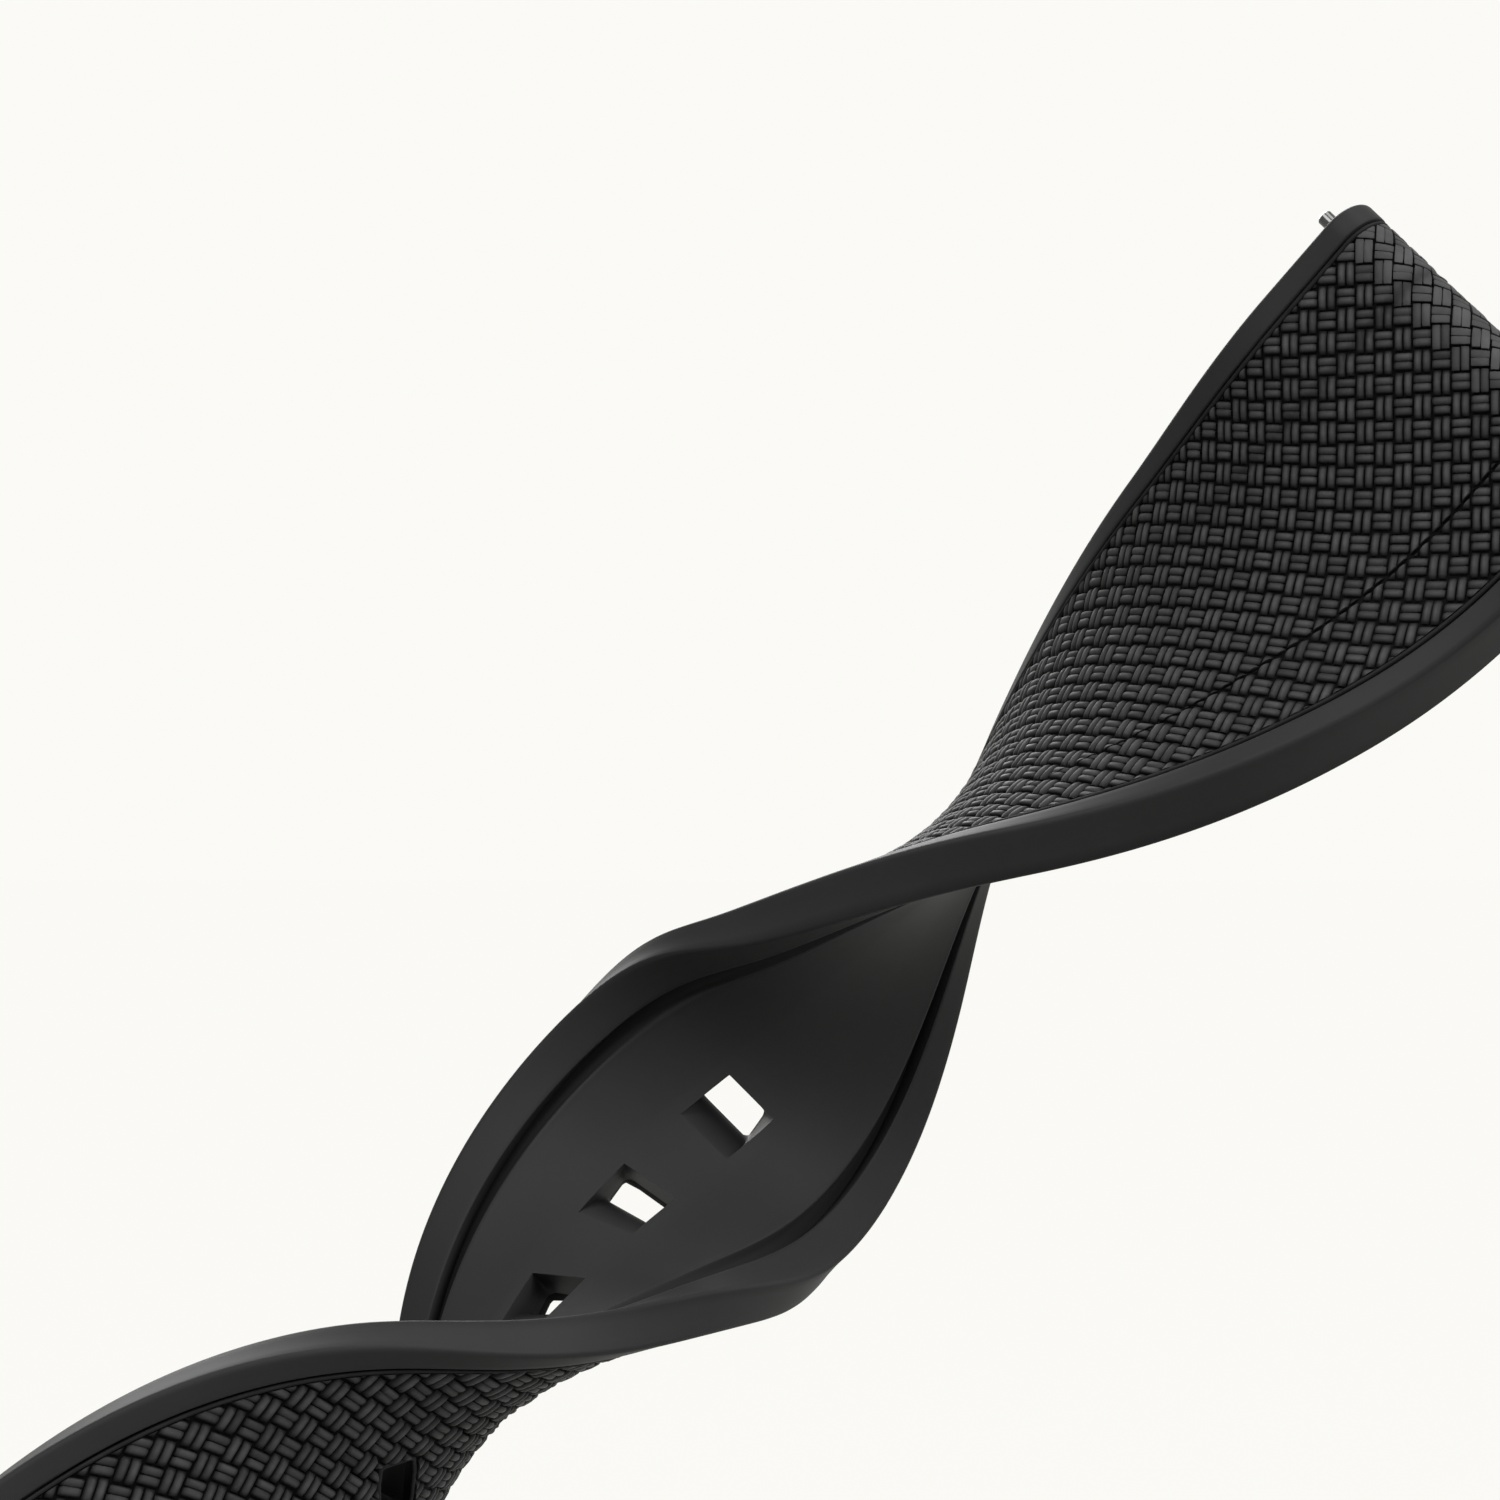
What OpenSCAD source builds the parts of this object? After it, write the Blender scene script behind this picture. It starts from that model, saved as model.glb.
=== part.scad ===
// The long half of a two-piece rubber watch strap, held in a loose twist, with its quick-release spring bar.
// Millimetres. The origin is the middle of the spring bar, +Z is up, and the viewer looks along +Y.
// Along the strap: s runs from the nose to the tip, u across it, and v through it, positive on the front.

/* [Strap] */
// Whole length from the nose to the rounded tip, along the strap
strap_l = 118; // [100:1:135]
// Width at the lug end, between the lugs of the watch
lug_w = 22; // [19:0.5:24]
// Width of the part with the holes
tail_w = 19.4; // [16:0.2:21]
// Thickness of the lug end, and diameter of its round nose
lug_t = 4; // [3.6:0.1:4.8]
// Thickness where the taper slows down
mid_t = 3; // [2.6:0.1:3.6]
// Thickness at the tip
tip_t = 2.4; // [2:0.1:3]
// Length of the tip that narrows to its round end
tip_l = 9; // [7:0.5:12]
// Width of the smooth border on each side of the front
border_w = 1.5; // [1:0.1:2.2]
// Rounding of the long edges
edge_r = 0.4; // [0.2:0.05:0.6]

/* [Woven panel] */
// Depth of the recess that holds the panel
recess_d = 0.75; // [0.6:0.05:0.95]
// How far the panel's face lies below the border
panel_drop = 0.1; // [0:0.02:0.2]
// Groove left between the panel and the border
panel_gap = 0.2; // [0.1:0.05:0.4]
// Film of adhesive under the panel
bond = 0.02; // [0.01:0.01:0.05]
// Length of bare rubber between the panel's end and the tip
bare_tip_l = 6; // [4.5:0.5:8]

/* [Back] */
// Distance from the strap's edge to a channel
channel_in = 2.8; // [2.2:0.1:3.4]
// Width of a channel
channel_w = 1; // [0.6:0.1:1.4]
// Depth of a channel
channel_d = 0.5; // [0.2:0.05:0.7]
// Draft across the wall of a channel or of the recess
wall_draft = 0.12; // [0.06:0.02:0.2]

/* [Adjustment holes] */
// Number of holes
hole_count = 7; // [3:1:8]
// Distance from the nose to the middle of the first hole
first_hole_s = 59; // [50:0.5:62]
// Distance from one hole to the next
hole_pitch = 7.8; // [6:0.1:7.8]
// Length of a hole's mouth on the back, along the strap
mouth_l = 3.2; // [2.6:0.1:4]
// Width of a hole's mouth on the back
mouth_w = 3.4; // [2.6:0.1:4.4]
// Length of the slot on the front
slot_l = 1.5; // [1:0.1:2]
// How much narrower than the mouth the slot is
slot_inset = 0.15; // [0.05:0.05:0.3]

/* [Spring bar] */
// Outer diameter of the barrel
tube_d = 1.8; // [1.5:0.1:2]
// Wall of the barrel
tube_wall = 0.2; // [0.15:0.05:0.25]
// How far each end of the barrel lies inside the strap's side
tube_in = 0.3; // [0.1:0.1:0.8]
// Clearance round the barrel in the strap's bore
bore_fit = 0.05; // [0.02:0.01:0.1]
// Clearance round the plunger in the barrel
plunger_fit = 0.03; // [0.02:0.01:0.05]
// Diameter of the tips that enter the watch's lugs
tip_d = 0.85; // [0.7:0.05:0.9]
// Length of each tip beyond its shoulder
tip_stick = 1.3; // [1:0.1:1.6]
// Diameter of the shoulder behind each tip
shoulder_d = 1.2; // [1.1:0.05:1.25]
// Length of each shoulder outside the barrel
shoulder_l = 0.4; // [0.2:0.1:0.6]
// Travel of the plunger
release_travel = 1.6; // [1.2:0.1:1.8]
// Length of the plunger inside the barrel
plunger_l = 5.5; // [5:0.5:7]
// Length of the stud inside the barrel
stud_l = 3; // [2:0.5:4]

/* [Release knob] */
// Distance from the strap's side to the knob's axis
knob_in = 3.6; // [3.2:0.1:4.2]
// Diameter of the knob's stem
stem_d = 0.8; // [0.6:0.05:0.9]
// Diameter of the knob's head
knob_d = 1.6; // [1.2:0.1:1.8]
// Thickness of the knob's head
knob_t = 0.9; // [0.6:0.1:1.2]
// How far the head stands proud of the strap's back
knob_proud = 0.6; // [0.3:0.1:1]
// Room round the head in its notch
knob_room = 0.45; // [0.3:0.05:0.6]

/* [Spring] */
// Wire of the spring inside the barrel
wire_d = 0.2; // [0.15:0.01:0.22]
// Number of its turns
spring_turns = 16; // [10:1:18]
// Room between the spring and the barrel
spring_room = 0.06; // [0.04:0.01:0.1]

/* [Pose] */
// Share of the photographed twist that the strap is given: 0 lays it flat
twist_share = 1; // [0:0.05:1]
// Share of the photographed bending that the strap is given: 0 lays it straight
bend_share = 1; // [0:0.05:1]

/* [Hidden] */
$fn = 48;

// The straight block at the lug end, and the bar's place in it
block_l = 7;
bar_s = lug_t / 2;

// The route of the flexible part, in degrees at equal steps of its length: the compass of the strap as the
// viewer sees it, its climb towards the viewer, and its turn about its own length
heading = [229.3, 219.5, 219.4, 233.8, 224.3, 233.7, 203.5, 215.8, 234];
climb = [-13.4, -13.5, -15.7, -9.1, 28.3, 40.1, 34.1, 27, 15];
turn = [27.3, 44.3, 77.5, 126.6, 191.8, 241, 321, 354, 372];
last_station = len(heading) - 1;

// Distance between the rings of points along the flexible part
ring_step = 1.6;

function smooth(a, b, x) = let (t = min(max((x - a) / (b - a), 0), 1)) t * t * (3 - 2 * t);
function mix(a, b, t) = a + (b - a) * t;

// A smooth curve through the values of a list, level at its first one
function eased(list, x) =
    let (
        at = min(max(x, 0), last_station - 1e-6),
        i = floor(at),
        f = at - i,
        before = list[max(i - 1, 0)],
        after = list[min(i + 2, last_station)],
        slope_in = i == 0 ? 0 : (list[i + 1] - before) / 2,
        slope_out = i + 2 > last_station ? list[i + 1] - list[i] : (after - list[i]) / 2
    )
    (2 * f ^ 3 - 3 * f ^ 2 + 1) * list[i] + (f ^ 3 - 2 * f ^ 2 + f) * slope_in
    + (3 * f ^ 2 - 2 * f ^ 3) * list[i + 1] + (f ^ 3 - f ^ 2) * slope_out;

function station(s) = (s - block_l) / (strap_l - block_l) * last_station;
function heading_at(s) = mix(heading[0], eased(heading, station(s)), bend_share);
function climb_at(s) = mix(climb[0], eased(climb, station(s)), bend_share);
function turn_at(s) = mix(turn[0], eased(turn, station(s)), twist_share);

// Directions at s: along the strap, across it, and out of its front
function along(s) = let (h = heading_at(s), c = climb_at(s)) [cos(c) * cos(h), -sin(c), cos(c) * sin(h)];
function across(s) =
    let (h = heading_at(s), flat = [-sin(h), 0, cos(h)], up = cross(along(s), flat), t = turn_at(s))
    cos(t) * flat + sin(t) * up;
function front(s) = cross(along(s), across(s));

// The centre line, added up in short steps from the end of the block
ring_count = ceil((strap_l - block_l) / ring_step);
step_l = (strap_l - block_l) / ring_count;
sub_steps = 4;
function walked(s0, length) =
    let (n = max(1, ceil(length / step_l * sub_steps)), d = length / n)
    [for (i = 0, p = [0, 0, 0]; i <= n; p = p + along(s0 + (i + 0.5) * d) * d, i = i + 1) p][n];
block_end = along(0) * (block_l - bar_s);
ring_places = [
    for (i = 0, p = block_end; i <= ring_count; p = p + walked(block_l + i * step_l, step_l), i = i + 1) p
];
function place(s) =
    s <= block_l
    ? along(0) * (s - bar_s)
    : let (i = min(floor((s - block_l) / step_l), ring_count - 1), s0 = block_l + i * step_l)
      ring_places[i] + (s > s0 ? walked(s0, s - s0) : [0, 0, 0]);

// Moves children from the plane of the strap at s (x along, y across, z out of the front) to their place
module on_strap(s) {
    a = along(s);
    b = across(s);
    c = front(s);
    p = place(s);
    multmatrix([
        [a.x, b.x, c.x, p.x],
        [a.y, b.y, c.y, p.y],
        [a.z, b.z, c.z, p.z],
        [0, 0, 0, 1]
    ]) children();
}

// The strap's sizes at s
taper_end_s = 60;
taper_mid_s = 45;
function half_w(s) = mix(lug_w, tail_w, smooth(block_l, taper_end_s, s)) / 2;
function half_t(s) =
    (s < taper_mid_s
     ? mix(lug_t, mid_t, smooth(block_l, taper_mid_s, s))
     : mix(mid_t, tip_t, (s - taper_mid_s) / (strap_l - taper_mid_s))) / 2;
tip_flat = 0.3;
function tip_narrow(s) =
    let (x = max(s - (strap_l - tip_l), 0) / tip_l) mix(tip_flat, 1, sqrt(max(1 - x * x, 0)));
// The channels deepen and run out over these stretches
channel_start_s = block_l + 2;
channel_full_s = block_l + 8;
channel_fade_s = strap_l - tip_l - 5;
channel_end_s = strap_l - tip_l + 1;
function channel_depth(s) =
    max(channel_d * smooth(channel_start_s, channel_full_s, s) * smooth(channel_end_s, channel_fade_s, s), 0);
panel_end_s = strap_l - bare_tip_l;
function panel_half_w(s) = half_w(s) - border_w - wall_draft - panel_gap;
panel_t = recess_d - panel_drop - bond;

// Widths narrow together towards the round tip, and the recess ends round inside it
panel_round_l = 5;
function inner_narrow(s) =
    let (x = min(max(s - (panel_end_s - panel_round_l), 0) / panel_round_l, 1))
    mix(tip_flat, 1, sqrt(1 - x * x));
recess_end_s = panel_end_s + panel_gap;
function recess_depth(s) = s > recess_end_s ? 0 : recess_d;

// Slices across the strap at s, from one edge to the other: [across, front height, back height]
function half_slices(s) =
    let (
        w = half_w(s),
        t = half_t(s),
        k = tip_narrow(s),
        m = min(inner_narrow(s), k),
        floor_v = t - recess_depth(s),
        groove_v = channel_depth(s) - t,
        rim = w - border_w,
        wall_in = w - channel_in - channel_w
    )
    [
        [w * k, t - edge_r, edge_r - t],
        [(w - 0.3 * edge_r) * k, t - 0.3 * edge_r, 0.3 * edge_r - t],
        [(w - edge_r) * k, t, -t],
        [rim * m, t, -t],
        [(rim - wall_draft) * m, floor_v, -t],
        [panel_half_w(s) * m, floor_v, -t],
        [(w - channel_in) * m, floor_v, -t],
        [(w - channel_in - wall_draft) * m, floor_v, groove_v],
        [(wall_in + wall_draft) * m, floor_v, groove_v],
        [wall_in * m, floor_v, -t],
        [wall_in * m / 2, floor_v, -t]
    ];
function both_halves(half) =
    let (n = len(half), mid = half[n - 1])
    concat(
        [for (p = half) [-p[0], p[1], p[2]]],
        [[0, mid[1], mid[2]]],
        [for (i = [n - 1 : -1 : 0]) half[i]]
    );
function body_slices(s) = both_halves(half_slices(s));
panel_first_slice = 5;
function panel_slices(s) =
    let (h = half_slices(s), t = half_t(s), top = t - panel_drop, under = t - recess_d + bond)
    both_halves([for (i = [panel_first_slice : len(h) - 1]) [h[i][0], top, under]]);

// A ring of points through the slices at s. A roll turns its front and its back towards the nose.
function ring_points(s, roll, slices) =
    let (
        p = place(s),
        b = across(s),
        up = front(s) * cos(roll),
        out = along(s) * sin(roll)
    )
    [for (q = slices) each [for (v = [q[1], q[2]]) p + b * q[0] + (v < 0 ? up + out : up - out) * v]];

// One closed solid through the rings at a list of stops, each [s, roll]
module loft(stops, rings) {
    m = len(rings[0]);
    n = len(rings);
    points = [for (i = [0 : n - 1]) each ring_points(stops[i][0], stops[i][1], rings[i])];
    function top(i, j) = 2 * (i * m + j);
    function under(i, j) = top(i, j) + 1;
    faces = concat(
        [for (i = [0 : n - 2], j = [0 : m - 2]) each [
            [top(i, j), top(i, j + 1), top(i + 1, j + 1)],
            [top(i, j), top(i + 1, j + 1), top(i + 1, j)],
            [under(i, j), under(i + 1, j + 1), under(i, j + 1)],
            [under(i, j), under(i + 1, j), under(i + 1, j + 1)]
        ]],
        [for (i = [0 : n - 2]) each [
            [top(i, 0), top(i + 1, 0), under(i + 1, 0)],
            [top(i, 0), under(i + 1, 0), under(i, 0)],
            [top(i, m - 1), under(i + 1, m - 1), top(i + 1, m - 1)],
            [top(i, m - 1), under(i, m - 1), under(i + 1, m - 1)]
        ]],
        [for (j = [0 : m - 2]) each [
            [top(0, j), under(0, j + 1), top(0, j + 1)],
            [top(0, j), under(0, j), under(0, j + 1)],
            [top(n - 1, j), top(n - 1, j + 1), under(n - 1, j + 1)],
            [top(n - 1, j), under(n - 1, j + 1), under(n - 1, j)]
        ]]
    );
    polyhedron(points, faces);
}

// Stops: round the nose, along the strap, and close together where an end is rounded
function even_steps(a, b, step) =
    let (n = max(1, round((b - a) / step))) [for (i = [0 : n]) a + (b - a) * i / n];
function round_steps(a, b, end, length) =
    let (from = asin((a - end + length) / length), to = asin((b - end + length) / length))
    [for (x = even_steps(from, to, 12)) end - length * (1 - sin(x))];
function without_first(list) = [for (i = [1 : len(list) - 1]) list[i]];
nose_r = lug_t / 2;
nose_roll = 86;
panel_roll = 82;
roll_step = 11;
function nose_stops(roll) = [for (a = even_steps(roll, 0, -roll_step)) [bar_s, a]];
panel_stops = concat(
    nose_stops(panel_roll),
    [for (s = concat(
        even_steps(block_l, panel_end_s - panel_round_l, ring_step),
        without_first(round_steps(panel_end_s - panel_round_l, panel_end_s, panel_end_s, panel_round_l))
    )) [s, 0]]
);
body_stops = concat(
    nose_stops(nose_roll),
    [for (s = concat(
        even_steps(block_l, panel_end_s - panel_round_l, ring_step),
        without_first(round_steps(panel_end_s - panel_round_l, panel_end_s, panel_end_s, panel_round_l)),
        [recess_end_s],
        round_steps(recess_end_s + wall_draft, strap_l, strap_l, tip_l)
    )) [s, 0]]
);

// The adjustment holes: a slot on the front, and a mouth on the back that slopes towards the tip
module hole_cut(s) {
    t = half_t(s);
    slot_w = mouth_w - 2 * slot_inset;
    on_strap(s) {
        translate([-mouth_l / 2, -slot_w / 2, -2 * t]) cube([slot_l, slot_w, 4 * t]);
        rotate([90, 0, 0]) translate([0, 0, -mouth_w / 2]) linear_extrude(mouth_w) polygon([
            [-mouth_l / 2, -2 * t],
            [-mouth_l / 2, t - recess_d - bond],
            [-mouth_l / 2 + slot_l, t - recess_d - bond],
            [mouth_l / 2, -t],
            [mouth_l / 2, -2 * t]
        ]);
    }
}
function hole_s(i) = first_hole_s + i * hole_pitch;
module all_holes() {
    for (i = [0 : hole_count - 1])
        if (hole_s(i) + mouth_l < panel_end_s) hole_cut(hole_s(i));
}

// The spring bar's sizes, along its axis from the sliding end to the fixed end
tube_r = tube_d / 2;
tube_in_r = tube_r - tube_wall;
bar_end = lug_w / 2 - tube_in;
lip_t = 0.25;
lip_fit = 0.03;
shoulder_r = shoulder_d / 2;
tip_r = tip_d / 2;
tip_chamfer = 0.15;
plunger_r = tube_in_r - plunger_fit;
plunger_start = -bar_end + lip_t;
plunger_end = plunger_start + plunger_l;
stud_fit = 0.01;
stud_start = bar_end - lip_t - stud_l;
knob_y = -lug_w / 2 + knob_in;
stem_r = stem_d / 2;
slot_fit = 0.05;
notch_under_axis = 0.35;
cut_over = 1;
cut_reach = lug_w / 2 + cut_over;
module along_bar(y) {
    on_strap(bar_s) translate([0, y, 0]) rotate([-90, 0, 0]) children();
}
module bore() {
    along_bar(-cut_reach) cylinder(r = tube_r + bore_fit, h = lug_w + 2 * cut_over);
}
module knob_notch() {
    side = knob_d / 2 + knob_room;
    on_strap(bar_s) translate([-lug_t, knob_y - side, -lug_t - notch_under_axis])
        cube([lug_t + side, 2 * side + release_travel, lug_t]);
}

module strap_body() {
    color("#26282b") difference() {
        loft(body_stops, [for (stop = body_stops) body_slices(stop[0])]);
        bore();
        knob_notch();
        all_holes();
    }
}
module weave_panel() {
    color("#33363a") difference() {
        loft(panel_stops, [for (stop = panel_stops) panel_slices(stop[0])]);
        all_holes();
    }
}
module bar_tube() {
    slot_len = release_travel;
    slot_r = stem_r + slot_fit;
    color("#c9ccd0") difference() {
        along_bar(-bar_end) cylinder(r = tube_r, h = 2 * bar_end);
        along_bar(-bar_end + lip_t) cylinder(r = tube_in_r, h = 2 * (bar_end - lip_t));
        along_bar(-cut_reach) cylinder(r = shoulder_r + lip_fit, h = 2 * cut_reach);
        on_strap(bar_s) translate([0, knob_y, -tube_d]) {
            cylinder(r = slot_r, h = tube_d);
            translate([0, slot_len, 0]) cylinder(r = slot_r, h = tube_d);
            translate([-slot_r, 0, 0]) cube([2 * slot_r, slot_len, tube_d]);
        }
    }
}
// A stud or plunger with its shoulder and its tip, turned about +z from its inner end
module turned_pin(inner_r, inner_l) {
    out_l = inner_l + lip_t + shoulder_l;
    rotate_extrude() polygon([
        [0, 0],
        [inner_r, 0],
        [inner_r, inner_l],
        [shoulder_r, inner_l],
        [shoulder_r, out_l],
        [tip_r, out_l],
        [tip_r, out_l + tip_stick - tip_chamfer],
        [tip_r - tip_chamfer, out_l + tip_stick],
        [0, out_l + tip_stick]
    ]);
}
module fixed_tip() {
    color("#d6d9dc") along_bar(stud_start) turned_pin(tube_in_r - stud_fit, stud_l);
}
module sliding_tip() {
    socket_r = stem_r + stud_fit;
    color("#d6d9dc") difference() {
        along_bar(plunger_end) rotate([180, 0, 0]) turned_pin(plunger_r, plunger_l);
        on_strap(bar_s) translate([0, knob_y, -tube_d]) cylinder(r = socket_r, h = tube_d + stem_r / 2);
    }
}
module release_knob() {
    head_z = -nose_r - knob_proud;
    neck_z = head_z + knob_t;
    bevel = 0.2;
    color("#e1e3e5") on_strap(bar_s) translate([0, knob_y, 0]) rotate_extrude() polygon([
        [0, head_z],
        [knob_d / 2 - bevel, head_z],
        [knob_d / 2, head_z + bevel],
        [knob_d / 2, neck_z - bevel],
        [knob_d / 2 - bevel, neck_z],
        [stem_r, neck_z],
        [stem_r, stem_r / 4],
        [0, stem_r / 4]
    ]);
}

// The spring is one unbroken wire from the plunger to the stud
spring_seat = 0.03;
spring_start = plunger_end + spring_seat;
spring_end = stud_start - spring_seat;
coil_r = tube_in_r - spring_room - wire_d / 2;
rings_per_turn = 8;
wire_sides = 6;
coil_pitch = (spring_end - spring_start - 2 * wire_d) / spring_turns;
function coil_point(turns) =
    [coil_r * cos(360 * turns), coil_r * sin(360 * turns), wire_d + coil_pitch * turns];
function coil_side(turns) = [cos(360 * turns), sin(360 * turns), 0];
wire_path = concat(
    [[coil_r, 0, 0]],
    [for (i = [0 : spring_turns * rings_per_turn]) coil_point(i / rings_per_turn)],
    [coil_point(spring_turns) + [0, 0, wire_d]]
);
wire_ends = len(wire_path) - 1;
function wire_turn(i) = (min(max(i, 1), wire_ends - 1) - 1) / rings_per_turn;
function wire_heading(i) =
    i <= 0 || i >= wire_ends
    ? [0, 0, 1]
    : let (d = wire_path[i + 1] - wire_path[i - 1]) d / norm(d);
function wire_ring(i) =
    let (a = coil_side(wire_turn(i)), b = cross(wire_heading(i), a), e = b / norm(b))
    [for (k = [0 : wire_sides - 1])
        wire_path[i] + wire_d / 2 * (cos(360 * k / wire_sides) * a + sin(360 * k / wire_sides) * e)];
module bar_spring() {
    n = len(wire_path);
    m = wire_sides;
    points = [for (i = [0 : n - 1]) each wire_ring(i)];
    faces = concat(
        [for (i = [0 : n - 2], k = [0 : m - 1]) each [
            [i * m + k, (i + 1) * m + k, (i + 1) * m + (k + 1) % m],
            [i * m + k, (i + 1) * m + (k + 1) % m, i * m + (k + 1) % m]
        ]],
        [for (k = [1 : m - 2]) [0, k, k + 1]],
        [for (k = [1 : m - 2]) [(n - 1) * m, (n - 1) * m + k + 1, (n - 1) * m + k]]
    );
    color("#b9bcc0") along_bar(spring_start) polyhedron(points, faces);
}
// The least gap between turns, measured on points of the wire one turn apart
coil_gap = min([for (i = [0 : (spring_turns - 1) * rings_per_turn])
    norm(coil_point((i + rings_per_turn) / rings_per_turn) - coil_point(i / rings_per_turn)) - wire_d]);
echo(least_gap_between_turns_of_the_spring = coil_gap);

strap_body();
weave_panel();
bar_tube();
fixed_tip();
sliding_tip();
release_knob();
bar_spring();
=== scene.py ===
import math

import bmesh
import bpy
import numpy as np
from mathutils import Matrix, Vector


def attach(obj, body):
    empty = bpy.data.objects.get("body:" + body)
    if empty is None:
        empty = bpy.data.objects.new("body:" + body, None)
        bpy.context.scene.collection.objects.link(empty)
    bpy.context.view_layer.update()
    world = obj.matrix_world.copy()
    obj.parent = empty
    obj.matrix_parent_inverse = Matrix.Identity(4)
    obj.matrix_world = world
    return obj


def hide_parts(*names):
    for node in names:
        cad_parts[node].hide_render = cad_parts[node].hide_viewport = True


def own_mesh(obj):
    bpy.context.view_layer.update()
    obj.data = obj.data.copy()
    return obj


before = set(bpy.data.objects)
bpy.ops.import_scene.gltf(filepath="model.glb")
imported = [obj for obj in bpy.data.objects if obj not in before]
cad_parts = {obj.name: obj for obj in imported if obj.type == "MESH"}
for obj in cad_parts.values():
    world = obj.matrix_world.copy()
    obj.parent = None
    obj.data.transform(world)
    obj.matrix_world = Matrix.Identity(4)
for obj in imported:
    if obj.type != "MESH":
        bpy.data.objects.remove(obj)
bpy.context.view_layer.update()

MM = 0.001
PLUNGER_TRAVEL = 0.0016  # metres, as the joint's range

# ---------------------------------------------------------------- the strap's sizes and route (mm)
# The route and the main sizes are the solids'. The border, panel, channels and slots follow the photograph closer.
STRAP_L, BLOCK_L, BAR_S = 118.0, 7.0, 2.0  # the strap's length, its straight block's, and the bar's place in it
LUG_W, TAIL_W = 22.0, 19.4  # its width at the lugs, and past its taper
LUG_T, MID_T, TIP_T = 4.0, 3.0, 2.4  # its thickness at the nose, in the middle and at the tip
TAPER_END_S, MID_S = 60.0, 45.0  # where the width stops narrowing, and where the thickness goes on more slowly
TIP_L, TIP_FLAT = 9.0, 0.3  # the round tip's length, and the share of the width that its flat end keeps
BORDER_W, WALL_DRAFT, PANEL_GAP = 1.4, 0.06, 0.07  # the border, the slope of its wall, and the gap to the panel
RECESS_D, PANEL_DROP, BOND = 0.75, 0.02, 0.02  # the recess, the weave's crests under the border, and the adhesive
PANEL_END, PANEL_ROUND_L = 112.0, 5.0  # where the panel ends, and the length of its round end
CHANNEL_IN, CHANNEL_D = 2.3, 0.8  # a channel's outer edge, in from the strap's, and its depth
CHANNEL_START = (BLOCK_L + 2, BLOCK_L + 8)  # where a channel starts, and where it is whole
CHANNEL_STOP = (STRAP_L - TIP_L + 1, STRAP_L - TIP_L - 5)  # where it stops, and where it is still whole
FIRST_HOLE_S, HOLE_PITCH, HOLE_COUNT = 59, 7.8, 7
HOLES = [FIRST_HOLE_S + HOLE_PITCH * i for i in range(HOLE_COUNT)]
MOUTH_L, MOUTH_W, MOUTH_DRAWN = 3.2, 3.4, 0.5  # a hole's mouth on the back, drawn out towards the tip
SLOT_L, SLOT_INSET, SLOT_BACK = 1.85, -0.1, 0.6  # its slot on the front, set back towards the nose
SLOT_ROUND, MOUTH_ROUND = 0.45, 0.02  # how far the corners are rounded at the slot and at the mouth
SLOT_LEDGE, LEDGE_ROUND = 0.4, 0.3  # the recess's floor is level this far round a slot
MOUTH_SHADE = 0.45  # the share of its depth where the painted shade in a hole is darkest
# the route's directions in degrees, at even steps from the end of the straight block to the tip
HEADING = [229.3, 219.5, 219.4, 233.8, 224.3, 233.7, 203.5, 215.8, 234]
CLIMB = [-13.4, -13.5, -15.7, -9.1, 28.3, 40.1, 34.1, 27, 15]
TURN = [27.3, 44.3, 77.5, 126.6, 191.8, 241, 321, 354, 372]


def smooth(a, b, x):
    t = np.clip((np.asarray(x, float) - a) / (b - a), 0, 1)
    return t * t * (3 - 2 * t)


def mix(a, b, t):
    return a + (b - a) * t


def eased(values, x):
    """A smooth curve through the values, level at its first one."""
    v = np.array(values, float)
    last = len(v) - 1
    at = np.clip(x, 0, last - 1e-6)
    i = np.floor(at).astype(int)
    f = at - i
    before, after = v[np.maximum(i - 1, 0)], v[np.minimum(i + 2, last)]
    slope_in = np.where(i == 0, 0, (v[i + 1] - before) / 2)
    slope_out = np.where(i + 2 > last, v[i + 1] - v[i], (after - v[i]) / 2)
    return (
        (2 * f**3 - 3 * f**2 + 1) * v[i]
        + (f**3 - 2 * f**2 + f) * slope_in
        + (3 * f**2 - 2 * f**3) * v[i + 1]
        + (f**3 - f**2) * slope_out
    )


def directions(s):
    """Along the strap, across it, and out of its front, at s."""
    x = (np.maximum(s, BLOCK_L) - BLOCK_L) / (STRAP_L - BLOCK_L) * (len(HEADING) - 1)
    h, c, t = (np.radians(eased(v, x)) for v in (HEADING, CLIMB, TURN))
    along = np.stack([np.cos(c) * np.cos(h), -np.sin(c), np.cos(c) * np.sin(h)], -1)
    flat = np.stack([-np.sin(h), 0 * h, np.cos(h)], -1)
    up = np.cross(along, flat)
    across = np.cos(t)[..., None] * flat + np.sin(t)[..., None] * up
    return along, across, np.cross(along, across)


STEP = 0.02  # the route is added up in steps this long
_s = np.arange(BLOCK_L, STRAP_L + STEP / 2, STEP)
_along = directions(_s[:-1] + STEP / 2)[0]
_start = directions(np.array([0.0]))[0][0]
_line = np.vstack([np.zeros(3), np.cumsum(_along * STEP, axis=0)]) + _start * (BLOCK_L - BAR_S)


def place(s):
    """The middle of the section at s, in mm from the bar's middle. The block is straight."""
    s = np.asarray(s, float)
    far = np.stack([np.interp(s, _s, _line[:, k]) for k in range(3)], -1)
    return np.where((s < BLOCK_L)[..., None], _start * (s - BAR_S)[..., None], far)


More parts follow.
